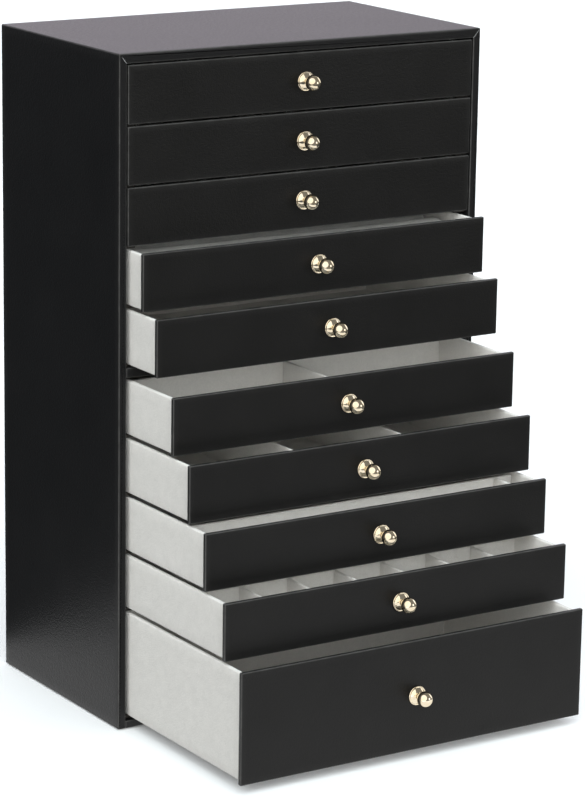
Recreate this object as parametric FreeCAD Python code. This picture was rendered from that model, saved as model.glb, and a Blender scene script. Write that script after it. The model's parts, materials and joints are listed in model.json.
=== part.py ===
"""Upright jewelry chest: a leather-covered cabinet with ten full-width drawers.

Millimetres, +Z up, +X to the right, and the drawer fronts face -Y. The origin is the
centre of the cabinet's underside. The model stands as it is stored: the top three
drawers are closed, and each drawer below them is pulled out further than the one above.
"""

import FreeCAD
import Part
import os

# Cabinet, outside.
WIDTH = 340.0
DEPTH = 195.0
HEIGHT = 548.0

# Covered boards of the cabinet.
SIDE_THICK = 7.0
TOP_THICK = 8.0
BOTTOM_THICK = 6.0
BACK_THICK = 3.0
SHELF_THICK = 8.0
FELT_THICK = 1.0
FELT_INSET = 4.0

# Drawer fronts.
DRAWER_COUNT = 10
SHELF_BELOW = 5                 # the middle shelf carries this drawer
FRONT_HEIGHT = 46.4
FRONT_THICK = 4.0
FRONT_EDGE_RADIUS = 1.0
SIDE_GAP = 1.0                  # between a front and the side panel
TOP_GAP = 1.2                   # between the first front and the top panel
FRONT_GAP = 1.5                 # between two fronts
SHELF_GAP = 1.15                # between the shelf and the front on each side of it
BOTTOM_GAP = 1.1                # between the deep front and the bottom panel

# Drawer trays, measured against their own front.
TRAY_INSET = 3.0
TRAY_TOP_DROP = 2.2
TRAY_BOTTOM_RISE = 0.4
DEEP_TRAY_BOTTOM_RISE = 2.0
TRAY_WALL = 4.0
TRAY_FLOOR = 3.0
TRAY_BACK_CLEARANCE = 4.5       # between a closed tray and the back panel

# Runners under the trays.
RUNNER_WIDTH = 11.0
RUNNER_THICK = 2.5
RUNNER_SETBACK = 6.0             # behind the front edges, clear of the closed fronts
RUNNER_CLEARANCE = 0.35

# How far each drawer stands open.
OPEN_BY = [0.0, 0.0, 0.0, 23.7, 45.5, 71.0, 96.2, 120.5, 149.8, 175.0]

# Knob and the domed rose behind it.
ROSE_RADIUS = 7.9
ROSE_RIM = 1.0
ROSE_HEIGHT = 3.8
NECK_RADIUS = 2.5
BALL_RADIUS = 6.4
BALL_OFFSET = 11.3              # from the front's face to the ball's centre
STUD_RADIUS = 1.5
STUD_HOLE_RADIUS = 1.6
STUD_DEPTH = 7.0                # behind the front's face

# Dividers inside the trays.
DIVIDER_THICK = 3.0

# Ring rolls in the fourth drawer.
ROLL_COUNT = 6
ROLL_HEIGHT = 36.0
ROLL_GAP = 0.6
ROLL_END_GAP = 0.5

HALF_WIDTH = WIDTH / 2
FACE_Y = -DEPTH / 2             # plane of the cabinet's front edges
BACK_Y = DEPTH / 2 - BACK_THICK  # inside face of the back panel
INNER_X = HALF_WIDTH - SIDE_THICK
BOTTOM_TOP_Z = FELT_THICK + BOTTOM_THICK
TRAY_X = INNER_X - SIDE_GAP - TRAY_INSET
TRAY_LENGTH = BACK_Y - TRAY_BACK_CLEARANCE - FACE_Y - FRONT_THICK


def block(x0, x1, y0, y1, z0, z1):
    """A rectangular solid between two corners."""
    corner = FreeCAD.Vector(x0, y0, z0)
    return Part.makeBox(x1 - x0, y1 - y0, z1 - z0, corner)


def write(name, solids):
    """Writes one node, which is one solid or a group of separate solids."""
    shape = solids[0] if len(solids) == 1 else Part.makeCompound(solids)
    shape.exportStep(os.path.join("parts", name + ".step"))


def front_levels():
    """Lowest and highest Z of each drawer front, from the top drawer down."""
    levels = []
    top = HEIGHT - TOP_THICK - TOP_GAP
    for number in range(1, DRAWER_COUNT):
        levels.append((top - FRONT_HEIGHT, top))
        top -= FRONT_HEIGHT
        top -= 2 * SHELF_GAP + SHELF_THICK if number == SHELF_BELOW else FRONT_GAP
    levels.append((BOTTOM_TOP_Z + BOTTOM_GAP, top))
    return levels


LEVELS = front_levels()
SHELF_TOP_Z = LEVELS[SHELF_BELOW - 1][0] - SHELF_GAP


def tray_span(number):
    """Lowest and highest Z of a drawer's tray."""
    low, high = LEVELS[number - 1]
    rise = DEEP_TRAY_BOTTOM_RISE if number == DRAWER_COUNT else TRAY_BOTTOM_RISE
    return low + rise, high - TRAY_TOP_DROP


# Cabinet


def mitred_board(points):
    """A board with its outline in the XZ plane, as deep as the cabinet."""
    corners = [FreeCAD.Vector(x, FACE_Y, z) for x, z in points]
    face = Part.Face(Part.makePolygon(corners + corners[:1]))
    return face.extrude(FreeCAD.Vector(0, DEPTH, 0))


def side_panel(side):
    """A side panel, mitred into the top panel and standing beside the bottom one."""
    outer = side * HALF_WIDTH
    inner = side * INNER_X
    top_inner = HEIGHT - TOP_THICK
    return mitred_board(
        [(outer, FELT_THICK), (outer, HEIGHT), (inner, top_inner), (inner, FELT_THICK)]
    )


def top_panel():
    """The top panel, with a mitre at each end."""
    low = HEIGHT - TOP_THICK
    return mitred_board(
        [(-HALF_WIDTH, HEIGHT), (HALF_WIDTH, HEIGHT), (INNER_X, low), (-INNER_X, low)]
    )


def runner_span(number):
    """Lowest and highest Z of the runners that carry a drawer."""
    high = tray_span(number)[0] - RUNNER_CLEARANCE
    if number == SHELF_BELOW:
        return SHELF_TOP_Z, high
    if number == DRAWER_COUNT:
        return BOTTOM_TOP_Z, high
    return high - RUNNER_THICK, high


def runners(side):
    """One runner strip for each drawer, glued to the inside of a side panel."""
    near, far = sorted((side * INNER_X, side * (INNER_X - RUNNER_WIDTH)))
    strips = []
    for number in range(1, DRAWER_COUNT + 1):
        low, high = runner_span(number)
        strips.append(block(near, far, FACE_Y + RUNNER_SETBACK, BACK_Y, low, high))
    return strips


def write_cabinet():
    """The fixed body: six covered boards, the runners and the felt underneath."""
    write("left_side_panel", [side_panel(-1)])
    write("right_side_panel", [side_panel(1)])
    write("top_panel", [top_panel()])
    bottom = block(-INNER_X, INNER_X, FACE_Y, DEPTH / 2, FELT_THICK, BOTTOM_TOP_Z)
    write("bottom_panel", [bottom])
    back = block(-INNER_X, INNER_X, BACK_Y, DEPTH / 2, BOTTOM_TOP_Z, HEIGHT - TOP_THICK)
    write("back_panel", [back])
    shelf_low = SHELF_TOP_Z - SHELF_THICK
    shelf = block(-INNER_X, INNER_X, FACE_Y, BACK_Y, shelf_low, SHELF_TOP_Z)
    write("middle_shelf", [shelf])
    write("left_runners", runners(-1))
    write("right_runners", runners(1))
    felt_x = HALF_WIDTH - FELT_INSET
    felt_y = DEPTH / 2 - FELT_INSET
    write("base_felt", [block(-felt_x, felt_x, -felt_y, felt_y, 0.0, FELT_THICK)])


# Drawers. Each is built closed, then moved out to where it stands.


def stud_hole(z):
    """The drilled hole for a knob's stud."""
    start = FreeCAD.Vector(0, FACE_Y, z)
    return Part.makeCylinder(STUD_HOLE_RADIUS, STUD_DEPTH, start, FreeCAD.Vector(0, 1, 0))


def drawer_front(low, high):
    """A thin covered board with eased front edges and a hole for the knob's stud."""
    half = INNER_X - SIDE_GAP
    board = block(-half, half, FACE_Y, FACE_Y + FRONT_THICK, low, high)
    at_face = [e for e in board.Edges if abs(e.BoundBox.YMax - FACE_Y) < 0.01]
    board = board.makeFillet(FRONT_EDGE_RADIUS, at_face)
    return board.cut(stud_hole((low + high) / 2))


def drawer_tray(number, knob_z):
    """The tray's floor, two sides, front wall and back wall."""
    low, high = tray_span(number)
    y0 = FACE_Y + FRONT_THICK
    y1 = y0 + TRAY_LENGTH
    x = TRAY_X
    inner = x - TRAY_WALL
    floor_top = low + TRAY_FLOOR
    front_wall = block(-inner, inner, y0, y0 + TRAY_WALL, floor_top, high)
    return [
        block(-x, x, y0, y1, low, floor_top),
        block(-x, -inner, y0, y1, floor_top, high),
        block(inner, x, y0, y1, floor_top, high),
        front_wall.cut(stud_hole(knob_z)),
        block(-inner, inner, y1 - TRAY_WALL, y1, floor_top, high),
    ]


def turned(outline, z):
    """Turns a closed outline of edges about the knob's axis, at height z."""
    face = Part.Face(Part.Wire(outline))
    solid = face.revolve(FreeCAD.Vector(0, 0, 0), FreeCAD.Vector(0, 1, 0), 360)
    solid.translate(FreeCAD.Vector(0, FACE_Y, z))
    return solid


def point(radius, out):
    """A point of a turned outline: its radius, and its distance out from the front's face."""
    return FreeCAD.Vector(radius, -out, 0)


def line(start, end):
    """A straight edge of a turned outline."""
    return Part.LineSegment(start, end).toShape()


def rose(z):
    """The domed rose, with a short rim against the front and a flat seat for the neck."""
    foot_in = point(STUD_HOLE_RADIUS, 0)
    foot_out = point(ROSE_RADIUS, 0)
    rim = point(ROSE_RADIUS, ROSE_RIM)
    shoulder = point(0.66 * ROSE_RADIUS, 0.71 * ROSE_HEIGHT)
    seat_out = point(NECK_RADIUS, ROSE_HEIGHT)
    seat_in = point(STUD_HOLE_RADIUS, ROSE_HEIGHT)
    dome = Part.Arc(rim, shoulder, seat_out).toShape()
    edges = [line(foot_in, foot_out), line(foot_out, rim), dome]
    edges += [line(seat_out, seat_in), line(seat_in, foot_in)]
    return turned(edges, z)


def knob(z):
    """A ball on a short neck, with the stud that fixes it into the front."""
    reach = (BALL_RADIUS**2 - NECK_RADIUS**2) ** 0.5
    tip_in = point(0, -STUD_DEPTH + 0.5)
    tip_out = point(STUD_RADIUS, -STUD_DEPTH + 0.5)
    stud_end = point(STUD_RADIUS, ROSE_HEIGHT)
    neck_foot = point(NECK_RADIUS, ROSE_HEIGHT)
    neck_top = point(NECK_RADIUS, BALL_OFFSET - reach)
    side = point(BALL_RADIUS, BALL_OFFSET)
    crown = point(0, BALL_OFFSET + BALL_RADIUS)
    ball = Part.Arc(neck_top, side, crown).toShape()
    edges = [line(tip_in, tip_out), line(tip_out, stud_end), line(stud_end, neck_foot)]
    edges += [line(neck_foot, neck_top), ball, line(crown, tip_in)]
    return turned(edges, z)


# Inside the trays. Distances back are from the closed front's face.

TRAY_FRONT_IN = FRONT_THICK + TRAY_WALL
TRAY_BACK_IN = FRONT_THICK + TRAY_LENGTH - TRAY_WALL
INSIDE_X = TRAY_X - TRAY_WALL

# For each divided drawer: how far the dividers stand below the front's top edge, where
# the cross divider lies behind the front's face (None for no cross divider), and the
# centres of the front-to-back dividers before and behind it.
SEVENTHS = [INSIDE_X * (2 * i / 7 - 1) for i in range(1, 7)]
THIRDS = [-INSIDE_X / 3, INSIDE_X / 3]
DIVIDED = {
    6: (8.5, 98.0, [0.0], []),
    7: (7.5, None, THIRDS, []),
    8: (5.0, 40.0, [138.0], []),
    9: (10.0, 62.0, SEVENTHS, SEVENTHS),
}


def dividers(number):
    """The thin boards that divide one tray."""
    drop, cross, before, behind = DIVIDED[number]
    low = tray_span(number)[0] + TRAY_FLOOR
    high = LEVELS[number - 1][1] - drop
    half = DIVIDER_THICK / 2
    back_end = TRAY_BACK_IN if cross is None else cross - half
    boards = []
    for x in before:
        start, end = FACE_Y + TRAY_FRONT_IN, FACE_Y + back_end
        boards.append(block(x - half, x + half, start, end, low, high))
    if cross is not None:
        start, end = FACE_Y + cross - half, FACE_Y + cross + half
        boards.append(block(-INSIDE_X, INSIDE_X, start, end, low, high))
    for x in behind:
        start, end = FACE_Y + cross + half, FACE_Y + TRAY_BACK_IN
        boards.append(block(x - half, x + half, start, end, low, high))
    return boards


def ring_rolls(number):
    """Soft rolls across the tray, each with a round top, that hold rings between them."""
    pitch = (TRAY_BACK_IN - TRAY_FRONT_IN) / ROLL_COUNT
    radius = (pitch - ROLL_GAP) / 2
    low = tray_span(number)[0] + TRAY_FLOOR
    half = INSIDE_X - ROLL_END_GAP
    rolls = []
    for i in range(ROLL_COUNT):
        y = FACE_Y + TRAY_FRONT_IN + pitch * (i + 0.5)
        axis_z = low + ROLL_HEIGHT - radius
        start = FreeCAD.Vector(-half, y, axis_z)
        top = Part.makeCylinder(radius, 2 * half, start, FreeCAD.Vector(1, 0, 0))
        lower = block(-half, half, y - radius, y + radius, low, axis_z)
        rolls.append(top.fuse(lower).removeSplitter())
    return rolls


def write_drawer(number):
    """One drawer: front, tray, rose, knob, and what divides its inside."""
    low, high = LEVELS[number - 1]
    knob_z = (low + high) / 2
    pieces = {
        "front": [drawer_front(low, high)],
        "tray": drawer_tray(number, knob_z),
        "rose": [rose(knob_z)],
        "knob": [knob(knob_z)],
    }
    if number in DIVIDED:
        pieces["dividers"] = dividers(number)
    if number == 4:
        pieces["ring_rolls"] = ring_rolls(number)
    opened = FreeCAD.Vector(0, -OPEN_BY[number - 1], 0)
    for piece, solids in pieces.items():
        for solid in solids:
            solid.translate(opened)
        write(f"drawer_{number:02d}_{piece}", solids)


os.makedirs("parts", exist_ok=True)
write_cabinet()
for drawer in range(1, DRAWER_COUNT + 1):
    write_drawer(drawer)
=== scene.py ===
"""The looks of the jewelry chest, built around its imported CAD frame.

Metres, +Z up, +X to the right, and the drawer fronts face -Y, as in the CAD frame.
"""

import json
import math

import bpy
from mathutils import Euler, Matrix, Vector, noise

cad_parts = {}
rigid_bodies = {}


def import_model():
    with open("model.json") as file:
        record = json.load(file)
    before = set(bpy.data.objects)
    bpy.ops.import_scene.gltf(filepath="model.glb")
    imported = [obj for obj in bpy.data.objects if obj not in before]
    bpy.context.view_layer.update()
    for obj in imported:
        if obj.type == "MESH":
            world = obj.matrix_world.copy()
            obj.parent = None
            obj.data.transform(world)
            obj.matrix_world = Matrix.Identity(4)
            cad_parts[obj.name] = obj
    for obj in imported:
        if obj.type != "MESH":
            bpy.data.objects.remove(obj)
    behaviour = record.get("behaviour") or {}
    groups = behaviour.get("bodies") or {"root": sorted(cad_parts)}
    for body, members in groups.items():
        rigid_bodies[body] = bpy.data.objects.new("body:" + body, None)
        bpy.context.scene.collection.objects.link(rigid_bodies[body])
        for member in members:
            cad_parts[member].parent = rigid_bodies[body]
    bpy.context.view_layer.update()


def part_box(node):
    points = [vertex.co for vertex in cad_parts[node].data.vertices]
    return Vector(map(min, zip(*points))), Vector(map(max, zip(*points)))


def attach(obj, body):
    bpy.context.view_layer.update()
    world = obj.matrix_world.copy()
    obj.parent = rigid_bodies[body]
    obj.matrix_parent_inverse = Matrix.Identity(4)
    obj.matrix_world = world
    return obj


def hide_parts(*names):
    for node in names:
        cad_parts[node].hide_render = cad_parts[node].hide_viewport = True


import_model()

MM = 0.001
DRAWER_COUNT = 10

# Rounded edges.
ARC_STEPS = 4
PANEL_EDGE = 1.0 * MM           # front and back edges of the side and top panels
PANEL_CORNER = 1.6 * MM         # the long outer corner where side and top meet
MITRE_SHARE = 0.35              # how much of an edge's rounding the mitre seam has
TOP_SHARE = 1.5                 # how much wider the top's upper edges are rounded
TOP_GROWTH = (0.35, 0.8)        # how much of that the first two points from a corner have
PAINTED_GLINT_WIDTH = 0.62 * MM      # a pale strip in the mitre seam: a painted glint of light in its groove
PAINTED_GLINT_DEPTH = 0.24 * MM
PAINTED_GLINT_START = 0.3 * MM       # from the inner end of the seam
PAINTED_GLINT_END = 1.7 * MM         # from the outer corner
PAINTED_GLINT_BULGE = 0.22 * MM
PAINTED_GLINT_WAVER = 0.04 * MM
PAINTED_GLINT_TURN = 2.3             # how fast it wavers, in radians a ring
PAINTED_GLINT_TIP = 0.45             # how thin its ends are, as a part of its thickness
PAINTED_GLINT_RINGS = 13
PAINTED_GLINT_SIDES = 8
BOARD_EDGE = 0.9 * MM
FRONT_EDGE = 1.2 * MM
FELT_EDGE = 0.3 * MM
STRIP_EDGE = 0.5 * MM
CAP_SHARE = 1.5                 # where a board's flat end starts, as a part of its edge

# How far apart the points of a flat surface are.
PANEL_CELL = 7 * MM
BOARD_CELL = 9 * MM
STRIP_CELL = 12 * MM
FRONT_CELL = 4.6 * MM
DIVIDER_CELL = 8 * MM

# Trays.
TRAY_WALL = 4.0 * MM
TRAY_FLOOR = 3.0 * MM
TRAY_CORNER = 1.3 * MM
TRAY_INNER_CORNER = 0.5 * MM
TRAY_LIP = 1.2 * MM
TRAY_FILLET = 0.7 * MM
TRAY_CAP = 2.0 * MM             # where the flat underside and inside floor start
TRAY_CELL = 8 * MM
TRAY_CELLS_DEEP = 24            # from front to back, and from side to side
TRAY_CELLS_WIDE = 40

# Dividers. For each divided drawer: where the cross divider lies behind the tray's front
# (None for no cross divider), the centres of the dividers before it, and of those behind.
DIVIDER_THICK = 3.0 * MM
DIVIDER_EDGE = 0.9 * MM
TRAY_INSIDE = 155.0 * MM        # half the inside width
SEVENTHS = [TRAY_INSIDE * (2 * i / 7 - 1) for i in range(1, 7)]
THIRDS = [-TRAY_INSIDE / 3, TRAY_INSIDE / 3]
DIVIDED = {
    6: (94.0 * MM, [0.0], []),
    7: (None, THIRDS, []),
    8: (36.0 * MM, [138.0 * MM], []),
    9: (58.0 * MM, SEVENTHS, SEVENTHS),
}
CLEAR = 0.05 * MM               # between boards that are glued face to face

# Runners.
RUNNER_CLEARANCE = 0.35 * MM
RUNNER_THICK = 2.5 * MM
SHELF_DRAWER = 5                # the drawer just above the middle shelf

# Ring rolls.
ROLL_DRAWER = 4
ROLL_COUNT = 6
ROLL_GAP = 0.6 * MM
ROLL_SWELL = 1.0 * MM           # room left round the rolls for the cloth to swell
ROLL_SWELL_SHARE = 0.9          # how much of it the cloth may use
ROLL_PRESSURE = 4.0
ROLL_FRAMES = 20
ROLL_VOXEL = 4.0 * MM
ROLL_FOOT = 6 * MM              # height where the roll's side turns in
ROLL_HEEL = 1.2 * MM            # height where it turns under
ROLL_HEEL_SHARE = 0.8           # how far out that is, as a part of the roll's radius
ROLL_SOLE_SHARE = 0.4           # how far out the flat underside reaches
ROLL_CELLS = 60
ROLL_ARC = 12
ROLL_LIFT = 0.2 * MM
ROLL_WAVE = 0.25 * MM           # how crooked the rolls lie, and over what length
ROLL_WAVE_SIZE = 50 * MM
ROLL_WAVE_STEP = 3.7            # how far apart in the noise two rolls are

# Knobs.
ROSE_RIM = 0.75 * MM
ROSE_SEAT = 2.9 * MM            # radius where the rose's cone ends at the neck
ROSE_SWELL = 0.30 * MM          # how far the cone bulges
ROSE_STEP = 1.25 * MM           # height where the cone starts
ROSE_STEPS = 10
ROSE_RIM_STEPS = 7
ROSE_RIM_START = 110            # the rim's arc, in degrees from the knob's axis
ROSE_RIM_END = 15
ROSE_BACK = 0.95                # radius of the flat back, as a part of the rose's
ROSE_LEDGE = 0.88               # radius where the groove between rim and cone starts
ROSE_LEDGE_OUT = 1.22 * MM
ROSE_GROOVE = 0.86              # radius of the groove
ROSE_GROOVE_OUT = 1.20 * MM
ROSE_SEAT_EDGE = 0.3 * MM       # how far in from its edge the seat is quite flat
NECK_RADIUS = 2.4 * MM
NECK_FOOT = 0.8 * MM            # how deep the neck goes into the rose
NECK_FOOT_SHARE = 1.1           # its radius there, as a part of the neck's
NECK_FLARE = (1.12, 0.1 * MM)   # points of its profile: radius as a part of the neck's,
NECK_CURVE = (1.06, 0.4 * MM)   # and height above the rose
NECK_WAIST = (0.96, 0.8 * MM)
NECK_TOP = (0.95, 1.3 * MM)
BALL_STEPS = 36

# Leather over board is never quite flat: how deep and how wide its hollows are.
HOLLOW_DEPTH = 0.22 * MM
HOLLOW_SIZE = 62 * MM
PANEL_SEEDS = {"left": 1.5, "right": 4.5, "top": 7.5}
FRONT_SEED = 0.5                # added to the drawer's number

LATHE_STEPS = 72


# Meshes


def mark_edges(mesh):
    """Stores how far each point turns round an edge: 0 on a flat, 1 halfway round."""
    edge = mesh.attributes.new("edge", "FLOAT", "POINT")
    for i, vertex in enumerate(mesh.vertices):
        second = sorted(abs(c) for c in vertex.normal)[1]
        edge.data[i].value = min(1.0, second * math.sqrt(2))


def link_piece(name, points, faces, material):
    """A smooth closed mesh with one material."""
    mesh = bpy.data.meshes.new(name)
    mesh.from_pydata([tuple(p) for p in points], [], faces)
    mesh.shade_smooth()
    mark_edges(mesh)
    mesh.materials.append(material)
    piece = bpy.data.objects.new(name, mesh)
    bpy.context.scene.collection.objects.link(piece)
    return piece


def stand_for(piece, body, slot, *nodes):
    """The piece moves with the body, and is shown instead of the CAD nodes."""
    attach(piece, body)
    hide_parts(*nodes)


def side_steps(low, high, radius, cell):
    """Positions along a soft box's side: close together at its ends, even between."""
    turns = [math.tan(math.pi / 4 * (1 - i / ARC_STEPS)) for i in range(ARC_STEPS)]
    bend = [radius * (1 - turn) for turn in turns]
    room = high - low - 2 * radius
    count = max(1, round(room / cell))
    flat = [radius + room * i / count for i in range(count + 1)]
    return [low + s for s in bend + flat] + [high - s for s in reversed(bend)]


def rounded_point(point, low, high, radius):
    """A point on a box's surface, moved onto the same box with rounded edges."""
    core = Vector(
        [min(max(point[a], low[a] + radius), high[a] - radius) for a in range(3)]
    )
    away = Vector(point) - core
    return core + away.normalized() * radius


def quarter_turn():
    """Sines and cosines of even steps along a quarter of a circle."""
    turns = [math.pi / 2 * i / ARC_STEPS for i in range(ARC_STEPS + 1)]
    return [(math.sin(turn), math.cos(turn)) for turn in turns]


def soft_box(low, high, radius, cell):
    """Points and faces of a closed box with rounded edges, on an even grid."""
    steps = [side_steps(low[a], high[a], radius, cell) for a in range(3)]
    last = [len(s) - 1 for s in steps]
    index, points, faces = {}, [], []

    def number_of(at):
        if at not in index:
            index[at] = len(points)
            flat = [steps[a][at[a]] for a in range(3)]
            points.append(rounded_point(flat, low, high, radius))
        return index[at]

    for axis in range(3):
        across, along = (axis + 1) % 3, (axis + 2) % 3
        for end in (0, last[axis]):
            for i in range(last[across]):
                for j in range(last[along]):
                    quad = []
                    for di, dj in ((0, 0), (1, 0), (1, 1), (0, 1)):
                        at = [end, end, end]
                        at[across] = i + di
                        at[along] = j + dj
                        quad.append(number_of(tuple(at)))
                    faces.append(quad if end else quad[::-1])
    return points, faces


def hollow(points, axis, face, far, seed, depth=HOLLOW_DEPTH, size=HOLLOW_SIZE):
    """Lets one face of a board sink by a small uneven depth. The far face stays flat."""
    for point in points:
        share = (point[axis] - far) / (face - far)
        at = point / size
        at[axis] = seed
        sink = depth * (0.5 + 0.5 * noise.noise(at)) * max(0.0, min(1.0, share))
        point[axis] += sink if far > face else -sink
    return points


def join_rings(rings, capped=True):
    """Faces between rings of equally many points, closed by a face at each end."""
    count = len(rings[0])
    faces = []
    for r in range(len(rings) - 1):
        for i in range(count):
            j = (i + 1) % count
            a, b = r * count, (r + 1) * count
            faces.append((a + i, a + j, b + j, b + i))
    if capped:
        faces.append(tuple(reversed(range(count))))
        start = (len(rings) - 1) * count
        faces.append(tuple(range(start, start + count)))
    return [p for ring in rings for p in ring], faces


# Mitred panels. An outline is a list of (x, z, share) points in order round the board.
# Each share says how far the side that starts there moves in at the board's front and
# back edges, as a part of the edge's rounding.


def cut_corner(before, corner, after, radius):
    """An arc of points in place of an outline's corner."""
    into = (Vector(before) - Vector(corner)).normalized()
    out = (Vector(after) - Vector(corner)).normalized()
    half = into.angle(out) / 2
    reach = radius / math.tan(half)
    centre = Vector(corner) + (into + out).normalized() * (radius / math.sin(half))
    start = Vector(corner) + into * reach - centre
    end = Vector(corner) + out * reach - centre
    turn = start.angle(end)
    arc = []
    for i in range(ARC_STEPS + 1):
        t = i / ARC_STEPS
        near = math.sin((1 - t) * turn) / math.sin(turn)
        far = math.sin(t * turn) / math.sin(turn)
        arc.append(centre + start * near + end * far)
    return arc


def split_side(start, end, cell):
    """Even points between the two ends of a side, without the ends."""
    count = max(1, round((end - start).length / cell))
    return [start.lerp(end, i / count) for i in range(1, count)]


def inset_ring(outline, y, inset):
    """The outline at one depth, with every side moved in by its share of the inset."""
    ring = []
    count = len(outline)
    for i in range(count):
        before, here, after = outline[i - 1], outline[i], outline[(i + 1) % count]
        first = Vector((here[0] - before[0], here[1] - before[1])).normalized()
        second = Vector((after[0] - here[0], after[1] - here[1])).normalized()
        n1, n2 = Vector((-first.y, first.x)), Vector((-second.y, second.x))
        d1, d2 = inset * before[2], inset * here[2]
        cross = n1.x * n2.y - n1.y * n2.x
        if abs(cross) < 1e-4:
            move = n1 * d1
        else:
            move = Vector((d1 * n2.y - d2 * n1.y, d2 * n1.x - d1 * n2.x)) / cross
        ring.append(Vector((here[0] + move.x, y, here[1] + move.y)))
    return ring


def panel_mesh(outline, front, back, cell):
    """A board with its outline in the XZ plane and rounded front and back edges."""
    edge = PANEL_EDGE
    levels = [(front, CAP_SHARE * edge)]
    for sine, cosine in reversed(quarter_turn()):
        levels.append((front + edge * (1 - sine), edge * (1 - cosine)))
    count = round((back - front - 2 * edge) / cell)
    for i in range(1, count):
        levels.append((front + edge + (back - front - 2 * edge) * i / count, 0.0))
    for sine, cosine in quarter_turn():
        levels.append((back - edge * (1 - sine), edge * (1 - cosine)))
    levels.append((back, CAP_SHARE * edge))
    return join_rings([inset_ring(outline, y, inset) for y, inset in levels])


def outer_corner(inside, corner):
    """The round outer corner's centre, and the angle where the mitre seam cuts it."""
    radius = PANEL_CORNER
    centre = Vector((corner.x + radius, corner.y - radius))
    along = (corner - inside).normalized()
    back = inside - centre
    middle = -back.dot(along)
    reach = middle + math.sqrt(middle**2 - back.length_squared + radius**2)
    cut = inside + along * reach - centre
    return centre, math.atan2(cut.y, cut.x)


def arc_points(centre, first, last):
    """Points on the round outer corner between two angles."""
    points = []
    for i in range(ARC_STEPS + 1):
        angle = first + (last - first) * i / ARC_STEPS
        points.append(centre + PANEL_CORNER * Vector((math.cos(angle), math.sin(angle))))
    return points


def with_shares(runs):
    """An outline from runs of points, each with the share of the sides that start in it."""
    return [(p.x, p.y, share) for points, share in runs for p in points]


def into_mitre(arc):
    """An arc whose rounding shrinks to the mitre seam's at its last point."""
    last = len(arc) - 1
    shares = [1.0 + (MITRE_SHARE - 1.0) * i / last for i in range(last + 1)]
    return [([p], share) for p, share in zip(arc, shares)]


def out_of_mitre(arc):
    """An arc that starts at the mitre seam, and whose rounding grows from there."""
    last = len(arc) - 1
    shares = [MITRE_SHARE + (1.0 - MITRE_SHARE) * (i + 1) / last for i in range(last)]
    return [([p], share) for p, share in zip(arc, shares + [1.0])]


def side_outline(low, inside, corner, cell):
    """The left side panel's outline, from its outer bottom edge round to the same."""
    foot_out = Vector((corner.x, low))
    foot_in = Vector((inside.x, low))
    centre, cut = outer_corner(inside, corner)
    round_corner = arc_points(centre, cut, math.pi)
    a = cut_corner(round_corner[-1], foot_out, foot_in, BOARD_EDGE)
    b = cut_corner(foot_out, foot_in, inside, BOARD_EDGE)
    c = cut_corner(foot_in, inside, round_corner[0], BOARD_EDGE)
    up = split_side(b[-1], c[0], cell)
    down = split_side(round_corner[-1], a[0], cell)
    return with_shares(
        [(a + b + up, 1.0), *into_mitre(c), (round_corner + down, 1.0)]
    )


def top_outline(inside, corner, cell):
    """The top panel's outline, from its lower left edge round to the same."""
    centre, cut = outer_corner(inside, corner)
    left = arc_points(centre, math.pi / 2, cut)
    right = [Vector((-p.x, p.y)) for p in reversed(left)]
    under_left = inside
    under_right = Vector((-inside.x, inside.y))
    a = cut_corner(left[-1], under_left, under_right, BOARD_EDGE)
    b = cut_corner(under_left, under_right, right[0], BOARD_EDGE)
    below = split_side(a[-1], b[0], cell)
    above = split_side(right[-1], left[0], cell)
    grown = [1.0 + (TOP_SHARE - 1.0) * share for share in TOP_GROWTH]
    return with_shares(
        [
            *out_of_mitre(a),
            (below, 1.0),
            *into_mitre(b),
            (right, 1.0),
            (above[:1], grown[0]),
            (above[1:2], grown[1]),
            (above[2:-3], TOP_SHARE),
            (above[-3:-2], grown[1]),
            (above[-2:-1], grown[0]),
            (above[-1:] + left[:-1], 1.0),
            (left[-1:], MITRE_SHARE),
        ]
    )


def mirrored(points, faces):
    """The mesh on the other side of the chest's middle plane."""
    return [Vector((-p.x, p.y, p.z)) for p in points], [f[::-1] for f in faces]


# Turned pieces


def turned_mesh(profile, face_y, z):
    """Turns (radius, distance out) points about the knob's axis into a closed mesh."""
    points = [Vector((0.0, face_y - profile[0][1], z))]
    for radius, out in profile[1:-1]:
        for i in range(LATHE_STEPS):
            angle = 2 * math.pi * i / LATHE_STEPS
            x, up = radius * math.cos(angle), radius * math.sin(angle)
            points.append(Vector((x, face_y - out, z + up)))
    points.append(Vector((0.0, face_y - profile[-1][1], z)))
    tip = len(points) - 1
    faces = []
    for i in range(LATHE_STEPS):
        j = (i + 1) % LATHE_STEPS
        faces.append((0, 1 + i, 1 + j))
        for r in range(len(profile) - 3):
            a = 1 + r * LATHE_STEPS
            b = a + LATHE_STEPS
            faces.append((a + i, b + i, b + j, a + j))
        end = tip - LATHE_STEPS
        faces.append((end + i, tip, end + j))
    return points, faces


def arc_profile(centre, radius, first, last, steps):
    """Profile points on a circle, from one angle to another. Angle 0 points outwards."""
    profile = []
    for i in range(steps + 1):
        angle = math.radians(first + (last - first) * i / steps)
        r = centre[0] + radius * math.sin(angle)
        profile.append((r, centre[1] + radius * math.cos(angle)))
    return profile


# Materials

# A mix node's inputs (share, first, second) and its output, for each kind of value.
MIX_SOCKETS = {"FLOAT": ((0, 2, 3), 0), "RGBA": ((0, 6, 7), 2)}

MOST = (0.3, 0.7)               # the range that most of a noise's values lie in

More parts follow.
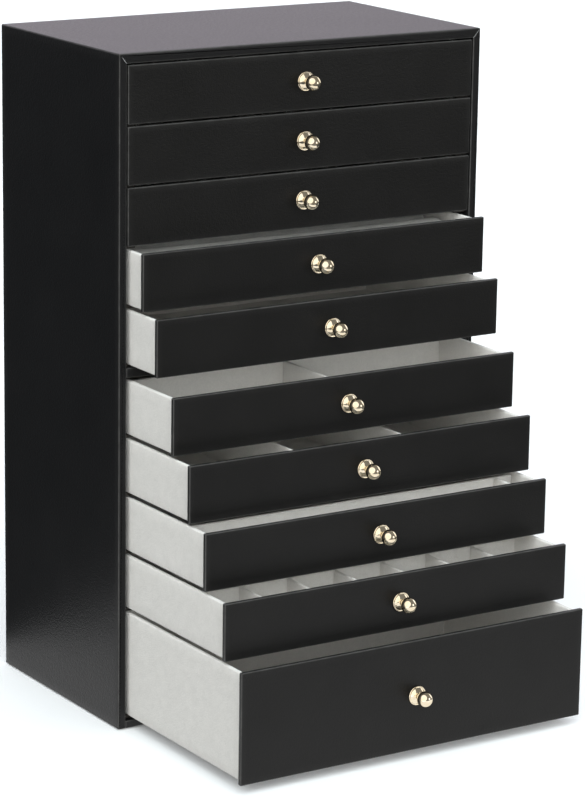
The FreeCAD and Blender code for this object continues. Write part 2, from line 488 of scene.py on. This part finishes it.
LEATHER_DRIFT = 46 * MM         # size of the slow changes of tone
LEATHER_PATCH = 9 * MM          # size of the stronger and weaker patches of an edge's wear and painted highlight
LEATHER_CREASE = 2.2 * MM
LEATHER_PEBBLE = 0.95 * MM
PEBBLE_DEPTH = 0.11 * MM
CREASE_DEPTH = 0.20 * MM
LEATHER_SPECULAR = 0.22
LEATHER_ROUGHNESS = 0.35
EDGE_ROUGHNESS = 0.34           # where the covering is rubbed, along the edges
# Edge colour: partly rubbed leather, partly a painted highlight of light on the rounded edges.
EDGE_WEAR_AND_HIGHLIGHT_COLOUR = (0.075, 0.073, 0.071)
CABINET_DARK = (0.0052, 0.0052, 0.0056)
CABINET_LIGHT = (0.0072, 0.0071, 0.0075)
FRONT_DARK = (0.0048, 0.0047, 0.0046)
FRONT_LIGHT = (0.0070, 0.0068, 0.0066)

SUEDE_NAP = 9 * MM              # size of the patches that the nap lies in
SUEDE_FIBRE = 1.4 * MM
SUEDE_FIBRE_SHARE = 0.62        # how much of the colour's change comes from the fibres
SUEDE_NAP_DEPTH = 0.30 * MM
SUEDE_FIBRE_DEPTH = 0.28 * MM
TRAY_SHADE = (0.692, 0.668, 0.636)
TRAY_LIT = (0.806, 0.778, 0.742)
ROLL_SHADE = (0.540, 0.532, 0.515)
ROLL_LIT = (0.690, 0.680, 0.660)

GOLD_MARK = 1.6 * MM            # width of the polishing marks
GOLD_MARK_DEPTH = 0.006 * MM
GOLD_TARNISH = 3.5 * MM
GOLD_BRIGHT = (0.92, 0.815, 0.64)
GOLD_DULL = (0.84, 0.715, 0.50)

WOOD_GRAIN = 1.6 * MM
WOOD_GRAIN_DEPTH = 0.08 * MM
WOOD_DARK = (0.010, 0.009, 0.008)
WOOD_LIGHT = (0.040, 0.034, 0.029)

# The mitre strip's pale colour is a painted highlight: light glinting in the seam's groove.
PAINTED_GLINT_FIBRE = 0.8 * MM
PAINTED_GLINT_FIBRE_DEPTH = 0.1 * MM
PAINTED_GLINT_DARK = (0.16, 0.16, 0.16)
PAINTED_GLINT_LIGHT = (0.52, 0.52, 0.53)

FELT_FIBRE = 0.9 * MM
FELT_FIBRE_DEPTH = 0.3 * MM
FELT_DARK = (0.010, 0.010, 0.010)
FELT_LIGHT = (0.035, 0.034, 0.033)


def tools_for(tree):
    """A maker of nodes, which takes settings and values of inputs, and one of links."""

    def node(kind, **values):
        made = tree.nodes.new(kind)
        for key, value in values.items():
            if hasattr(made, key):
                setattr(made, key, value)
            else:
                made.inputs[key].default_value = value
        return made

    return node, tree.links.new


def new_material(name):
    """A material with only its shader, which is returned with the tree's tools."""
    material = bpy.data.materials.new(name)
    material.use_nodes = True
    shader = material.node_tree.nodes["Principled BSDF"]
    return material, shader, *tools_for(material.node_tree)


def coordinates(node, link, scale=(1, 1, 1)):
    """Places on the piece itself, in metres, so that a pattern moves with its drawer."""
    place = node("ShaderNodeTexCoord")
    stretch = node("ShaderNodeMapping")
    stretch.inputs["Scale"].default_value = scale
    link(place.outputs["Object"], stretch.inputs["Vector"])
    return stretch.outputs["Vector"]


def noise_node(node, link, where, size, detail=4.0, roughness=0.55):
    """Noise whose patches are about this size."""
    made = node("ShaderNodeTexNoise", Scale=1 / size, Detail=detail, Roughness=roughness)
    link(where, made.inputs["Vector"])
    return made.outputs["Fac"]


def spread(node, link, value, low, high, new_low=0.0, new_high=1.0):
    """A value stretched from one range to another."""
    made = node("ShaderNodeMapRange")
    made.inputs["From Min"].default_value = low
    made.inputs["From Max"].default_value = high
    made.inputs["To Min"].default_value = new_low
    made.inputs["To Max"].default_value = new_high
    link(value, made.inputs["Value"])
    return made.outputs["Result"]


def mix(node, link, kind, share, first, second):
    """A mix of two numbers or colours, each given as it is or as another node's output."""
    made = node("ShaderNodeMix", data_type=kind)
    sockets, result = MIX_SOCKETS[kind]
    for number, value in zip(sockets, (share, first, second)):
        if isinstance(value, bpy.types.NodeSocket):
            link(value, made.inputs[number])
        else:
            made.inputs[number].default_value = value
    return made.outputs[result]


def two_colours(node, link, value, first, second):
    """A colour between two, by a value from 0 to 1."""
    return mix(node, link, "RGBA", value, (*first, 1), (*second, 1))


def raise_bump(node, link, height, depth, before=None):
    """A bump of this depth in metres, on top of another one."""
    made = node("ShaderNodeBump")
    made.inputs["Strength"].default_value = 1.0
    made.inputs["Distance"].default_value = depth
    link(height, made.inputs["Height"])
    if before is not None:
        link(before, made.inputs["Normal"])
    return made.outputs["Normal"]


def edge_wear_and_highlight(node, link, patch_share):
    """Edge rub and painted edge highlight: most along the edges, and more in some places."""
    edge = node("ShaderNodeAttribute", attribute_name="edge")
    both = node("ShaderNodeMath", operation="MULTIPLY")
    link(edge.outputs["Fac"], both.inputs[0])
    link(patch_share, both.inputs[1])
    return both.outputs["Value"]


def make_leather(name, dark, light):
    """Black imitation leather: fine pebbled grain, satin coat, rubbed edges with painted
    highlight.
    """
    material, shader, node, link = new_material(name)
    where = coordinates(node, link)
    drift = noise_node(node, link, where, LEATHER_DRIFT, 3.0)
    patch = noise_node(node, link, where, LEATHER_PATCH, 3.0)
    fine = noise_node(node, link, where, LEATHER_CREASE, 5.0, 0.6)
    pebble = node("ShaderNodeTexVoronoi", feature="SMOOTH_F1", Scale=1 / LEATHER_PEBBLE)
    pebble.inputs["Smoothness"].default_value = 0.6
    link(where, pebble.inputs["Vector"])
    tone = spread(node, link, drift, *MOST)
    rub_and_highlight = edge_wear_and_highlight(node, link, spread(node, link, patch, 0.3, 0.65, 0.55, 1.0))
    colour = two_colours(node, link, tone, dark, light)
    # The edges' lighter colour is a painted highlight as well as wear; their lower roughness
    # is real.
    edge_highlit_colour = mix(node, link, "RGBA", rub_and_highlight, colour, (*EDGE_WEAR_AND_HIGHLIGHT_COLOUR, 1))
    link(edge_highlit_colour, shader.inputs["Base Color"])
    rough = LEATHER_ROUGHNESS
    gloss = spread(node, link, fine, 0.25, 0.75, rough - 0.05, rough + 0.06)
    polish = mix(node, link, "FLOAT", rub_and_highlight, gloss, EDGE_ROUGHNESS)
    link(polish, shader.inputs["Roughness"])
    grain = raise_bump(node, link, pebble.outputs["Distance"], -PEBBLE_DEPTH)
    crease = raise_bump(node, link, fine, CREASE_DEPTH, grain)
    link(crease, shader.inputs["Normal"])
    shader.inputs["Specular IOR Level"].default_value = LEATHER_SPECULAR
    return material


def make_suede(name, shade, lit):
    """Off-white suede cloth: a short nap that lies in soft patches."""
    material, shader, node, link = new_material(name)
    where = coordinates(node, link)
    nap = noise_node(node, link, where, SUEDE_NAP, 5.0, 0.6)
    fibre = noise_node(node, link, where, SUEDE_FIBRE, 4.0, 0.75)
    patch = spread(node, link, nap, 0.32, 0.68)
    speck = spread(node, link, fibre, *MOST)
    blend = mix(node, link, "FLOAT", SUEDE_FIBRE_SHARE, patch, speck)
    colour = two_colours(node, link, blend, shade, lit)
    link(colour, shader.inputs["Base Color"])
    link(spread(node, link, fibre, *MOST, 0.85, 1.0), shader.inputs["Roughness"])
    pile = raise_bump(node, link, fibre, SUEDE_FIBRE_DEPTH)
    link(raise_bump(node, link, nap, SUEDE_NAP_DEPTH, pile), shader.inputs["Normal"])
    shader.inputs["Specular IOR Level"].default_value = 0.15
    shader.inputs["Sheen Weight"].default_value = 0.25
    shader.inputs["Sheen Roughness"].default_value = 0.5
    return material


def make_gold():
    """Polished pale gold plating with faint polishing marks and a little tarnish."""
    material, shader, node, link = new_material("pale_gold_plating")
    where = coordinates(node, link)
    marks = noise_node(node, link, coordinates(node, link, (1, 6, 1)), GOLD_MARK, 4.0)
    haze = noise_node(node, link, where, GOLD_TARNISH, 3.0)
    tone = spread(node, link, haze, 0.35, 0.7)
    colour = two_colours(node, link, tone, GOLD_BRIGHT, GOLD_DULL)
    link(colour, shader.inputs["Base Color"])
    link(spread(node, link, marks, *MOST, 0.04, 0.09), shader.inputs["Roughness"])
    link(raise_bump(node, link, marks, GOLD_MARK_DEPTH), shader.inputs["Normal"])
    shader.inputs["Metallic"].default_value = 1.0
    return material


def make_wood():
    """Hardwood stained black, with its grain along the runner."""
    material, shader, node, link = new_material("runner_hardwood")
    where = coordinates(node, link, (1.0, 0.08, 1.0))
    grain = noise_node(node, link, where, WOOD_GRAIN, 6.0, 0.65)
    tone = spread(node, link, grain, *MOST)
    colour = two_colours(node, link, tone, WOOD_DARK, WOOD_LIGHT)
    link(colour, shader.inputs["Base Color"])
    link(spread(node, link, grain, *MOST, 0.5, 0.7), shader.inputs["Roughness"])
    link(raise_bump(node, link, grain, WOOD_GRAIN_DEPTH), shader.inputs["Normal"])
    return material


def make_painted_glint():
    """A pale strip along a mitre: a painted highlight for light glinting in the seam's groove.
    """
    material, shader, node, link = new_material("leather_painted_glint")
    where = coordinates(node, link)
    fibre = noise_node(node, link, where, PAINTED_GLINT_FIBRE, 4.0, 0.7)
    tone = spread(node, link, fibre, 0.35, 0.65)
    colour = two_colours(node, link, tone, PAINTED_GLINT_DARK, PAINTED_GLINT_LIGHT)
    link(colour, shader.inputs["Base Color"])
    link(raise_bump(node, link, fibre, PAINTED_GLINT_FIBRE_DEPTH), shader.inputs["Normal"])
    shader.inputs["Roughness"].default_value = 0.6
    return material


def make_felt():
    """Thin black felt of matted fibres."""
    material, shader, node, link = new_material("black_felt")
    where = coordinates(node, link)
    fibre = noise_node(node, link, where, FELT_FIBRE, 6.0, 0.7)
    tone = spread(node, link, fibre, *MOST)
    colour = two_colours(node, link, tone, FELT_DARK, FELT_LIGHT)
    link(colour, shader.inputs["Base Color"])
    link(raise_bump(node, link, fibre, FELT_FIBRE_DEPTH), shader.inputs["Normal"])
    shader.inputs["Roughness"].default_value = 1.0
    shader.inputs["Sheen Weight"].default_value = 0.3
    return material


cabinet_leather = make_leather("cabinet_leather", CABINET_DARK, CABINET_LIGHT)
front_leather = make_leather("drawer_leather", FRONT_DARK, FRONT_LIGHT)
tray_suede = make_suede("tray_suede_cloth", TRAY_SHADE, TRAY_LIT)
roll_suede = make_suede("roll_suede_cloth", ROLL_SHADE, ROLL_LIT)
pale_gold = make_gold()
hardwood = make_wood()
black_felt = make_felt()
# A painted highlight: the pale strip in each mitre seam stands for light glinting there.
painted_glint = make_painted_glint()


# Cabinet


def build_panels():
    """The two side panels and the top panel, mitred together at the upper corners."""
    low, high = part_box("left_side_panel")
    under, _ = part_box("top_panel")
    inside = Vector((high.x, under.z))
    corner = Vector((low.x, high.z))
    outline = side_outline(low.z, inside, corner, PANEL_CELL)
    for side in ("left", "right"):
        points, faces = panel_mesh(outline, low.y, high.y, PANEL_CELL)
        points = hollow(points, 0, low.x, high.x, PANEL_SEEDS[side])
        if side == "right":
            points, faces = mirrored(points, faces)
        name = side + "_side_covered_board"
        piece = link_piece(name, points, faces, cabinet_leather)
        stand_for(piece, "cabinet", "black_leather", side + "_side_panel")
        build_painted_glint(side, inside, corner, low.y)
    outline = top_outline(inside, corner, PANEL_CELL)
    points, faces = panel_mesh(outline, low.y, high.y, PANEL_CELL)
    points = hollow(points, 2, high.z, inside.y, PANEL_SEEDS["top"])
    piece = link_piece("top_covered_board", points, faces, cabinet_leather)
    stand_for(piece, "cabinet", "black_leather", "top_panel")


def build_painted_glint(side, inside, corner, front):
    """A thin pale line in the mitre seam, along the cabinet's front edge: a painted glint."""
    along = (corner - inside).normalized()
    across = Vector((-along.y, along.x)) * PAINTED_GLINT_WIDTH / 2
    start = inside + along * PAINTED_GLINT_START
    end = corner - along * PAINTED_GLINT_END
    last = PAINTED_GLINT_RINGS - 1
    rings = []
    for i in range(PAINTED_GLINT_RINGS):
        middle = start.lerp(end, i / last)
        waver = PAINTED_GLINT_WAVER * math.sin(PAINTED_GLINT_TURN * i)
        shrink = PAINTED_GLINT_TIP if i in (0, last) else 1.0
        ring = []
        for k in range(PAINTED_GLINT_SIDES):
            angle = 2 * math.pi * k / PAINTED_GLINT_SIDES
            p = middle + across * math.cos(angle) * shrink
            depth = PAINTED_GLINT_DEPTH + waver + PAINTED_GLINT_BULGE * math.sin(angle) * shrink
            ring.append(Vector((p.x, front + depth, p.y)))
        rings.append(ring)
    points, faces = join_rings(rings)
    if side == "right":
        points, faces = mirrored(points, faces)
    piece = link_piece(side + "_mitre_painted_glint", points, faces, painted_glint)
    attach(piece, "cabinet")


def build_boards():
    """The bottom, the middle shelf and the back, each one covered board."""
    for node in ("bottom_panel", "middle_shelf", "back_panel"):
        points, faces = soft_box(*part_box(node), BOARD_EDGE, BOARD_CELL)
        piece = link_piece(node + "_covered_board", points, faces, cabinet_leather)
        stand_for(piece, "cabinet", "black_leather", node)


def build_felt():
    """The felt sheet under the bottom panel."""
    points, faces = soft_box(*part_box("base_felt"), FELT_EDGE, STRIP_CELL)
    piece = link_piece("base_felt_sheet", points, faces, black_felt)
    stand_for(piece, "cabinet", "base_felt", "base_felt")


def build_runners(side):
    """One hardwood strip under each edge of each tray."""
    low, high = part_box(side + "_runners")
    points, faces = [], []
    for number in range(1, DRAWER_COUNT + 1):
        tray_low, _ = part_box(f"drawer_{number:02d}_tray")
        top = tray_low.z - RUNNER_CLEARANCE
        bottom = strip_bottom(number, top)
        strip_low = Vector((low.x, low.y, bottom))
        strip_high = Vector((high.x, high.y, top))
        more, more_faces = soft_box(strip_low, strip_high, STRIP_EDGE, STRIP_CELL)
        faces += [[i + len(points) for i in face] for face in more_faces]
        points += more
    piece = link_piece(side + "_runner_strips", points, faces, hardwood)
    stand_for(piece, "cabinet", "runner_wood", side + "_runners")


def strip_bottom(number, top):
    """A runner's underside: on the shelf, on the bottom panel, or on nothing."""
    if number == SHELF_DRAWER:
        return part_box("middle_shelf")[1].z
    if number == DRAWER_COUNT:
        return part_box("bottom_panel")[1].z
    return top - RUNNER_THICK


# Drawers


def build_front(number):
    """A drawer front: a thin board wrapped in leather."""
    node = f"drawer_{number:02d}_front"
    low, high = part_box(node)
    points, faces = soft_box(low, high, FRONT_EDGE, FRONT_CELL)
    points = hollow(points, 1, low.y, high.y, number + FRONT_SEED)
    piece = link_piece(node + "_covered_board", points, faces, front_leather)
    stand_for(piece, f"drawer_{number:02d}", "front_leather", node)


def tray_ring(x, y0, y1, radius, z):
    """A rectangle with rounded corners, always with equally many points."""
    corners = [(x, y0), (x, y1), (-x, y1), (-x, y0)]
    ring = []
    for i in range(4):
        before, here, after = corners[i - 1], corners[i], corners[(i + 1) % 4]
        arc = cut_corner(before, here, after, radius)
        next_one = cut_corner(here, after, corners[(i + 2) % 4], radius)
        ring += arc
        cells = TRAY_CELLS_DEEP if i in (0, 2) else TRAY_CELLS_WIDE
        span = next_one[0] - arc[-1]
        ring += [arc[-1] + span * j / cells for j in range(1, cells)]
    return [Vector((p.x, p.y, z)) for p in ring]


def tray_mesh(low, high):
    """An open box with rounded lips, as one closed skin from underside to inside floor."""
    x, y0, y1 = high.x, low.y, high.y
    levels = [(TRAY_CAP, low.z, TRAY_CORNER)]
    for sine, cosine in quarter_turn():
        z = low.z + TRAY_LIP * (1 - cosine)
        levels.append((TRAY_LIP * (1 - sine), z, TRAY_CORNER))
    wall_cells = max(3, round((high.z - low.z) / TRAY_CELL))
    wall_low, wall_high = low.z + TRAY_LIP, high.z - TRAY_LIP
    for i in range(1, wall_cells):
        z = wall_low + (wall_high - wall_low) * i / wall_cells
        levels.append((0.0, z, TRAY_CORNER))
    for sine, cosine in quarter_turn():
        z = wall_high + TRAY_LIP * sine
        levels.append((TRAY_LIP * (1 - cosine), z, TRAY_CORNER))
    for sine, cosine in quarter_turn():
        z = high.z - TRAY_LIP * (1 - cosine)
        levels.append((TRAY_WALL - TRAY_LIP * (1 - sine), z, TRAY_INNER_CORNER))
    floor = low.z + TRAY_FLOOR
    drop = wall_high - floor - TRAY_FILLET
    for i in range(1, wall_cells):
        z = wall_high - drop * i / wall_cells
        levels.append((TRAY_WALL, z, TRAY_INNER_CORNER))
    for sine, cosine in quarter_turn():
        z = floor + TRAY_FILLET * (1 - sine)
        levels.append((TRAY_WALL + TRAY_FILLET * (1 - cosine), z, TRAY_INNER_CORNER))
    levels.append((TRAY_WALL + TRAY_CAP, floor, TRAY_INNER_CORNER))
    rings = []
    for inset, z, radius in levels:
        rings.append(tray_ring(x - inset, y0 + inset, y1 - inset, radius, z))
    return join_rings(rings)


def build_tray(number):
    """The suede-covered tray behind a front."""
    node = f"drawer_{number:02d}_tray"
    points, faces = tray_mesh(*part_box(node))
    piece = link_piece(node + "_covered_box", points, faces, tray_suede)
    stand_for(piece, f"drawer_{number:02d}", "tray_suede", node)


def build_dividers(number):
    """The suede-covered boards that divide one tray."""
    body = f"drawer_{number:02d}"
    node = body + "_dividers"
    cross, before, behind = DIVIDED[number]
    low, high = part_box(node)
    tray_low, tray_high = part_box(body + "_tray")
    front = tray_low.y + TRAY_WALL
    back = tray_high.y - TRAY_WALL
    half = DIVIDER_THICK / 2
    spans = []
    middle = back if cross is None else tray_low.y + cross
    gap = 0.0 if cross is None else half
    for x in before:
        spans.append((x - half, x + half, front, middle - gap))
    for x in behind:
        spans.append((x - half, x + half, middle + gap, back))
    if cross is not None:
        spans.append((-TRAY_INSIDE, TRAY_INSIDE, middle - half, middle + half))
    for i, (x0, x1, y0, y1) in enumerate(spans, 1):
        board_low = Vector((x0 + CLEAR, y0 + CLEAR, low.z + CLEAR))
        board_high = Vector((x1 - CLEAR, y1 - CLEAR, high.z))
        points, faces = soft_box(board_low, board_high, DIVIDER_EDGE, DIVIDER_CELL)
        piece = link_piece(f"{body}_divider_{i}", points, faces, tray_suede)
        stand_for(piece, body, "tray_suede", node)


def build_rose(number):
    """The rose under the ball: a rim, a groove, and a cone that bulges a little."""
    body = f"drawer_{number:02d}"
    low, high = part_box(body + "_rose")
    radius = (high.x - low.x) / 2
    height = high.y - low.y
    z = (low.z + high.z) / 2
    profile = [(0.0, 0.0), (ROSE_BACK * radius, 0.0)]
    rim = (radius - ROSE_RIM, ROSE_RIM)
    profile += arc_profile(rim, ROSE_RIM, ROSE_RIM_START, ROSE_RIM_END, ROSE_RIM_STEPS)
    groove = ROSE_GROOVE * radius
    profile += [(ROSE_LEDGE * radius, ROSE_LEDGE_OUT), (groove, ROSE_GROOVE_OUT)]
    for i in range(1, ROSE_STEPS + 1):
        t = i / ROSE_STEPS
        r = groove + (ROSE_SEAT - groove) * t
        swell = ROSE_SWELL * math.sin(math.pi * t)
        profile.append((r, ROSE_STEP + (height - ROSE_STEP) * t + swell * (1 - 0.5 * t)))
    profile += [(ROSE_SEAT - ROSE_SEAT_EDGE, height), (0.0, height)]
    points, faces = turned_mesh(profile, high.y, z)
    piece = link_piece(body + "_rose_turned", points, faces, pale_gold)
    stand_for(piece, body, "pale_gold", body + "_rose")


def build_knob(number):
    """The ball on its short waisted neck."""
    body = f"drawer_{number:02d}"
    low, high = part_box(body + "_knob")
    rose_low, rose_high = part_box(body + "_rose")
    radius = (high.x - low.x) / 2
    z = (low.z + high.z) / 2
    face = rose_high.y
    seat = face - rose_low.y
    tip = face - low.y
    centre = tip - radius
    foot = seat - NECK_FOOT
    profile = [(0.0, foot), (NECK_FOOT_SHARE * NECK_RADIUS, foot)]
    for share, above in (NECK_FLARE, NECK_CURVE, NECK_WAIST, NECK_TOP):
        profile.append((share * NECK_RADIUS, seat + above))
    turn = math.degrees(math.asin(NECK_RADIUS / radius))
    ball = arc_profile((0.0, centre), radius, 180 - turn - 1, 0, BALL_STEPS)
    profile += ball[:-1] + [(0.0, tip)]
    points, faces = turned_mesh(profile, face, z)
    piece = link_piece(body + "_knob_turned", points, faces, pale_gold)
    stand_for(piece, body, "pale_gold", body + "_knob")


def roll_mesh(half, radius, height):
    """A roll about the origin's X axis: round top, softer lower edges, closed ends."""
    rings = []
    section = []
    for i in range(ROLL_ARC + 1):
        angle = math.pi * i / ROLL_ARC
        section.append((radius * math.cos(angle), height - radius + radius * math.sin(angle)))
    heel, sole = ROLL_HEEL_SHARE * radius, ROLL_SOLE_SHARE * radius
    section += [(-radius, ROLL_FOOT), (-heel, ROLL_HEEL), (-sole, 0.0)]
    section += [(sole, 0.0), (heel, ROLL_HEEL), (radius, ROLL_FOOT)]
    for i in range(ROLL_CELLS + 1):
        x = -half + 2 * half * i / ROLL_CELLS
        rings.append([Vector((x, y, z)) for y, z in section])
    return join_rings(rings)


def puff(piece, pressure, cap):
    """Blows the piece up a little as cloth, and lets no point move further than the cap."""
    scene = bpy.context.scene
    remesh = piece.modifiers.new("remesh", "REMESH")
    remesh.mode = "VOXEL"
    remesh.voxel_size = ROLL_VOXEL
    apply_modifiers(piece)
    start = [v.co.copy() for v in piece.data.vertices]
    cloth = piece.modifiers.new("cloth", "CLOTH")
    cloth.settings.use_pressure = True
    cloth.settings.uniform_pressure_force = pressure
    cloth.settings.effector_weights.gravity = 0.0
    cloth.point_cache.frame_start = 1
    cloth.point_cache.frame_end = ROLL_FRAMES
    for step in range(1, ROLL_FRAMES + 1):
        scene.frame_set(step)
    apply_modifiers(piece)
    for vertex, rest in zip(piece.data.vertices, start):
        move = vertex.co - rest
        if move.length > cap:
            vertex.co = rest + move.normalized() * cap
    scene.frame_set(1)


def apply_modifiers(piece):
    """Keeps the mesh that the piece's modifiers make, and drops the modifiers."""
    graph = bpy.context.evaluated_depsgraph_get()
    mesh = bpy.data.meshes.new_from_object(piece.evaluated_get(graph))
    piece.modifiers.clear()
    piece.data = mesh


def build_rolls():
    """Six soft rolls across the tray that hold rings between them."""
    body = f"drawer_{ROLL_DRAWER:02d}"
    low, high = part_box(body + "_ring_rolls")
    pitch = (high.y - low.y + ROLL_GAP) / ROLL_COUNT
    radius = (pitch - ROLL_GAP) / 2 - ROLL_SWELL
    half = high.x - ROLL_SWELL
    height = high.z - low.z - ROLL_SWELL
    points, faces = roll_mesh(half, radius, height)
    model = link_piece(body + "_roll_1", points, faces, roll_suede)
    puff(model, ROLL_PRESSURE, ROLL_SWELL_SHARE * ROLL_SWELL)
    for i in range(1, ROLL_COUNT):
        piece = model.copy()
        piece.data = model.data.copy()
        piece.name = f"{body}_roll_{i + 1}"
        bpy.context.scene.collection.objects.link(piece)
    rolls = [bpy.data.objects[f"{body}_roll_{i + 1}"] for i in range(ROLL_COUNT)]
    for i, piece in enumerate(rolls):
        middle = low.y + radius + ROLL_SWELL + pitch * i
        for vertex in piece.data.vertices:
            along = vertex.co.x / ROLL_WAVE_SIZE
            wave = ROLL_WAVE * noise.noise(Vector((along, i * ROLL_WAVE_STEP, 0.5)))
            vertex.co += Vector((0.0, middle + wave, low.z + ROLL_LIFT))
        piece.data.shade_smooth()
        piece.modifiers.new("smooth", "SUBSURF").levels = 1
        piece.modifiers["smooth"].render_levels = 1
        stand_for(piece, body, "roll_suede", body + "_ring_rolls")


build_panels()
build_boards()
build_felt()
build_runners("left")
build_runners("right")
for drawer in range(1, DRAWER_COUNT + 1):
    build_front(drawer)
    build_tray(drawer)
    build_rose(drawer)
    build_knob(drawer)
    if drawer in DIVIDED:
        build_dividers(drawer)
build_rolls()


# Studio

ROOM_GLOW = 0.09
ROOM_COLOUR = (0.90, 0.96, 1.0)
WALL_GLOW = 0.74
WALL_COLOUR = (1.0, 0.90, 1.0)
WALL_DIRECTION = (0.60, 0.80, 0.24)
WALL_EDGE = 0.62                # cosine of the angle from there where its glow starts
WALL_FULL = 0.93                # and of the one where it is full

# Far soft lights: direction towards the light, the angle it fills in degrees, its
# strength and colour, and whether it is for shading, for reflections or for both.
FAR_LIGHTS = {
    "key": ((-0.53, -0.72, 0.45), 84, 2.80, (1.0, 0.975, 0.925), "shading"),
    "ceiling": ((-0.26, -0.55, 0.79), 100, 2.6, (0.80, 0.93, 1.0), "shading"),
    "window": ((-0.68, -0.46, 0.52), 92, 1.9, (1.0, 0.975, 0.93), "reflections"),
    "side": ((0.93, 0.10, 0.30), 44, 0.55, (0.98, 0.99, 1.0), "both"),
    "rear": ((0.10, 0.85, 0.50), 70, 0.35, (1.0, 0.90, 1.0), "both"),
    "haze": ((0.15, -0.60, 0.78), 150, 0.40, (1.0, 0.95, 0.87), "reflections"),
}

# A weak light in front on the right, in watts, and the point that it faces.
FILL_PLACE = (1.7, -2.7, 0.75)
FILL_TARGET = (0.0, -0.1, 0.25)
FILL_SIZE = 1.1
FILL_POWER = 7
FILL_COLOUR = (1.0, 0.985, 0.96)

# The lit table top, which is seen only where the chest mirrors it.
TABLE_MIDDLE = (-0.20, -0.33)
TABLE_HEIGHT = 1 * MM
TABLE_SIZE = (1.3, 0.96)
TABLE_POWER = 3.8

FLOOR_CORNERS = ((-1, -1), (1, -1), (1, 1), (-1, 1))
FLOOR_REACH = 14.0              # half the floor's width
FLOOR_MOTTLE = 0.35             # size of its faint patches
FLOOR_SHADE = (0.94, 0.94, 0.94)
FLOOR_PALE = (0.97, 0.97, 0.97)
FLOOR_GLOW = 0.06

# The camera, fitted to the chest's corners in the photograph.
SENSOR_WIDTH = 36.0             # millimetres, and so is the lens
CAMERA_LENS = 148.12
CAMERA_PLACE = (-1.40801, -2.28212, 0.90699)
CAMERA_ANGLES = (75.8974, -0.8327, -32.4647)


def build_floor():
    """A plain pale floor."""
    material, shader, node, link = new_material("floor")
    where = coordinates(node, link)
    mottle = noise_node(node, link, where, FLOOR_MOTTLE, 2.0)
    colour = two_colours(node, link, mottle, FLOOR_SHADE, FLOOR_PALE)
    link(colour, shader.inputs["Base Color"])
    shader.inputs["Roughness"].default_value = 0.9
    shader.inputs["Specular IOR Level"].default_value = 0.1
    shader.inputs["Emission Color"].default_value = (1, 1, 1, 1)
    shader.inputs["Emission Strength"].default_value = FLOOR_GLOW
    corners = [(x * FLOOR_REACH, y * FLOOR_REACH, 0) for x, y in FLOOR_CORNERS]
    floor = link_piece("floor", corners, [(0, 1, 2, 3)], material)
    floor.visible_glossy = False
    floor.visible_diffuse = False


def wall_glow(node, link):
    """The light that comes from the wall's side of the room."""
    place = node("ShaderNodeTexCoord")
    dot = node("ShaderNodeVectorMath", operation="DOT_PRODUCT")
    dot.inputs[1].default_value = Vector(WALL_DIRECTION).normalized()
    link(place.outputs["Generated"], dot.inputs[0])
    ramp = node("ShaderNodeMapRange", interpolation_type="SMOOTHSTEP")
    ramp.inputs["From Min"].default_value = WALL_EDGE
    ramp.inputs["From Max"].default_value = WALL_FULL
    ramp.inputs["To Max"].default_value = WALL_GLOW
    link(dot.outputs["Value"], ramp.inputs["Value"])
    return ramp.outputs["Result"]


def build_world():
    """A dim room with a bright wall far behind the chest."""
    world = bpy.data.worlds.new("studio")
    world.use_nodes = True
    back = world.node_tree.nodes["Background"]
    node, link = tools_for(world.node_tree)
    wall = wall_glow(node, link)
    total = node("ShaderNodeMath", operation="ADD")
    total.inputs[1].default_value = ROOM_GLOW
    link(wall, total.inputs[0])
    link(total.outputs["Value"], back.inputs["Strength"])
    link(two_colours(node, link, wall, ROOM_COLOUR, WALL_COLOUR), back.inputs["Color"])
    bpy.context.scene.world = world


def add_light(name, place, target, width, height, power, colour=(1, 1, 1)):
    """A soft rectangular light that faces a point."""
    data = bpy.data.lights.new(name, "AREA")
    data.shape = "RECTANGLE"
    data.size = width
    data.size_y = height
    data.energy = power
    data.color = colour
    light = bpy.data.objects.new(name, data)
    light.location = place
    light.rotation_euler = (Vector(target) - Vector(place)).to_track_quat("-Z", "Y").to_euler()
    bpy.context.scene.collection.objects.link(light)
    return light


def add_far_light(name, direction, width, strength, colour, purpose):
    """A soft light so far away that it comes from one direction everywhere."""
    data = bpy.data.lights.new(name, "SUN")
    data.energy = strength
    data.angle = math.radians(width)
    data.color = colour
    lamp = bpy.data.objects.new(name, data)
    lamp.rotation_euler = Vector(direction).to_track_quat("Z", "Y").to_euler()
    lamp.visible_glossy = purpose != "shading"
    lamp.visible_diffuse = purpose != "reflections"
    bpy.context.scene.collection.objects.link(lamp)


def build_lights():
    """The far lights, a weak one on the right, and the lit table top under the drawers."""
    for name, settings in FAR_LIGHTS.items():
        add_far_light(name, *settings)
    size = (FILL_SIZE, FILL_SIZE)
    add_light("fill_right", FILL_PLACE, FILL_TARGET, *size, FILL_POWER, FILL_COLOUR)
    place = (*TABLE_MIDDLE, TABLE_HEIGHT)
    above = (*TABLE_MIDDLE, 1.0)
    table = add_light("table_glow", place, above, *TABLE_SIZE, TABLE_POWER)
    table.visible_camera = False
    table.visible_diffuse = False


def build_camera():
    """The camera that looks down on the chest from the front left."""
    data = bpy.data.cameras.new("camera")
    data.sensor_width = SENSOR_WIDTH
    data.lens = CAMERA_LENS
    camera = bpy.data.objects.new("camera", data)
    camera.location = CAMERA_PLACE
    camera.rotation_euler = Euler([math.radians(a) for a in CAMERA_ANGLES], "XYZ")
    bpy.context.scene.collection.objects.link(camera)
    bpy.context.scene.camera = camera


build_floor()
build_world()
build_lights()
build_camera()
bpy.context.scene.view_settings.view_transform = "Standard"
